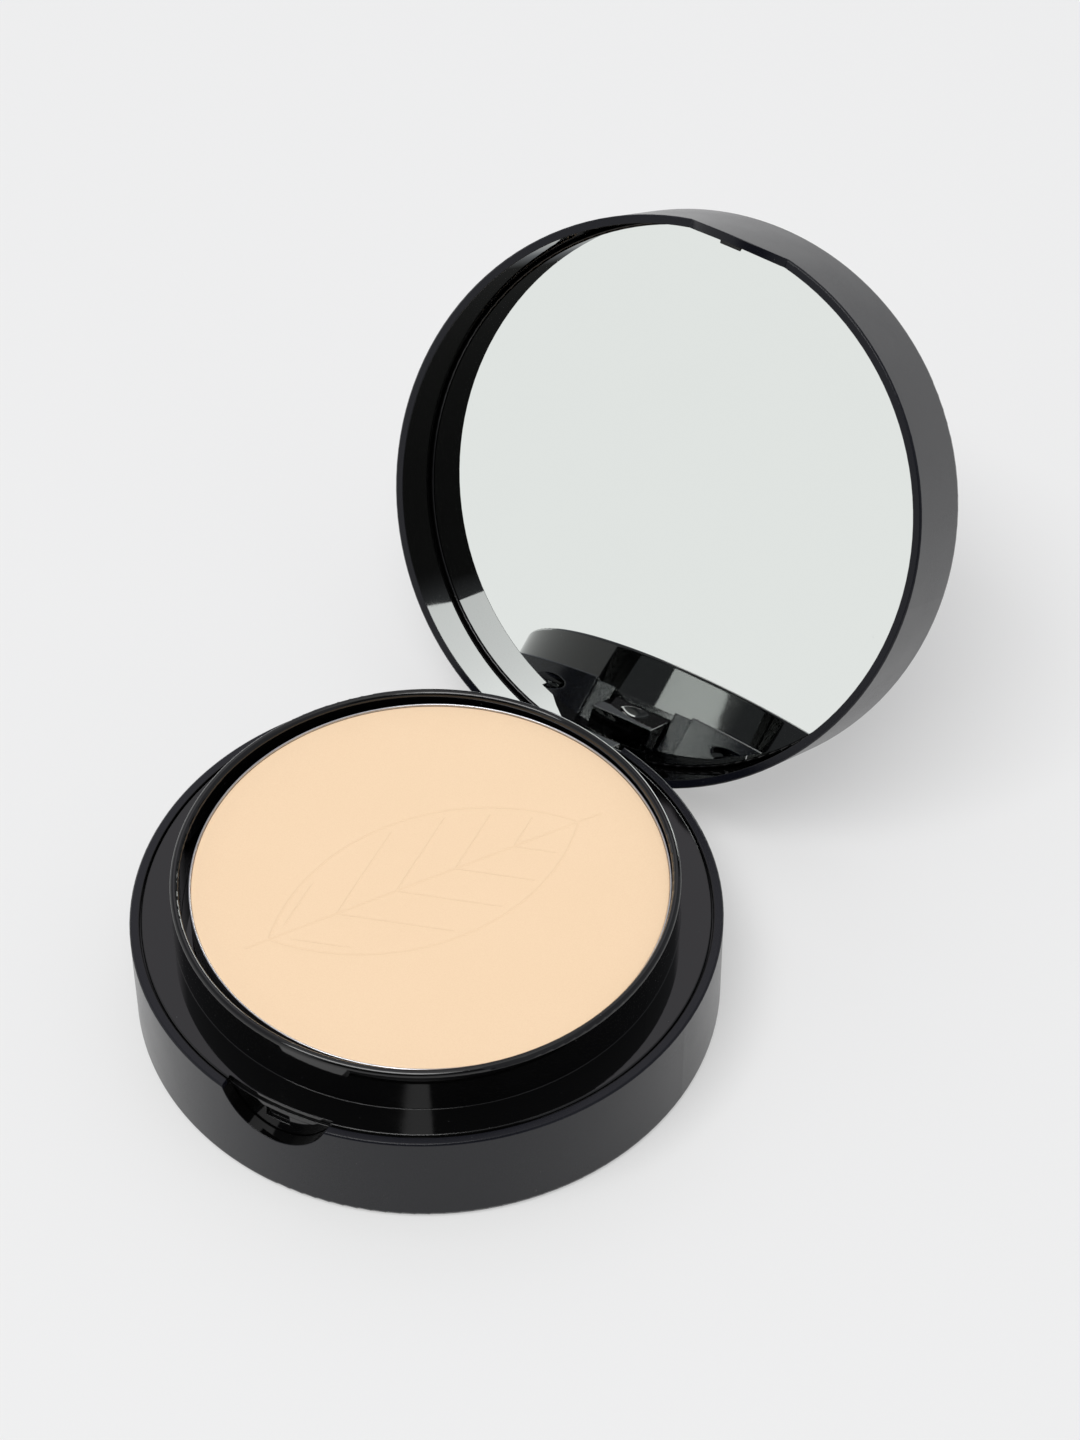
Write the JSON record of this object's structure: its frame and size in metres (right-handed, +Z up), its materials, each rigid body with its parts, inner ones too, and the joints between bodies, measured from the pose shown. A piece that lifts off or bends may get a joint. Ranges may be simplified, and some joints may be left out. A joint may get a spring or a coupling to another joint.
{
  "type": "powder compact",
  "caption": "Round black powder compact with a hinged mirror lid, a lift-out tray of pressed powder and a sponge puff underneath.",
  "frame": {"origin": "centre of the round underside of the base, on the surface it stands on", "axes": "+Z up, +Y from the centre towards the hinge, -Y towards the finger notch, X along the hinge axis"},
  "size_m": [0.073, 0.1211, 0.0707],
  "materials": {
    "satin_shell": "fine satin lacquer on black ABS",
    "gloss_insert": "polished black ABS",
    "pan_aluminium": "drawn, bare",
    "glue": "translucent hot-melt",
    "pressed_powder": "matt pressed powder",
    "sponge": "open-cell cosmetic sponge",
    "pin_steel": "drawn wire",
    "label": "matt, blank",
    "mirror": "silvered float glass",
    "foam_tape": "foam adhesive pad"
  },
  "bodies": {
    "base": {"base_shell": "satin_shell", "base_liner": "gloss_insert", "powder_tray": "gloss_insert", "godet": "pan_aluminium", "godet_glue": "glue", "pressed_powder": "pressed_powder", "puff": "sponge", "hinge_pin": "pin_steel", "base_label": "label"},
    "lid": {"lid_shell": "satin_shell", "mirror_frame": "gloss_insert", "mirror_glass": "mirror", "mirror_tape": "foam_tape"}
  },
  "joints": [
    {"name": "lid_hinge", "type": "hinge", "parent": "base", "child": "lid", "pos_m": [0, 0.0336, 0.01135], "axis": [1, 0, 0], "range_deg": [0, 122]}
  ]
}
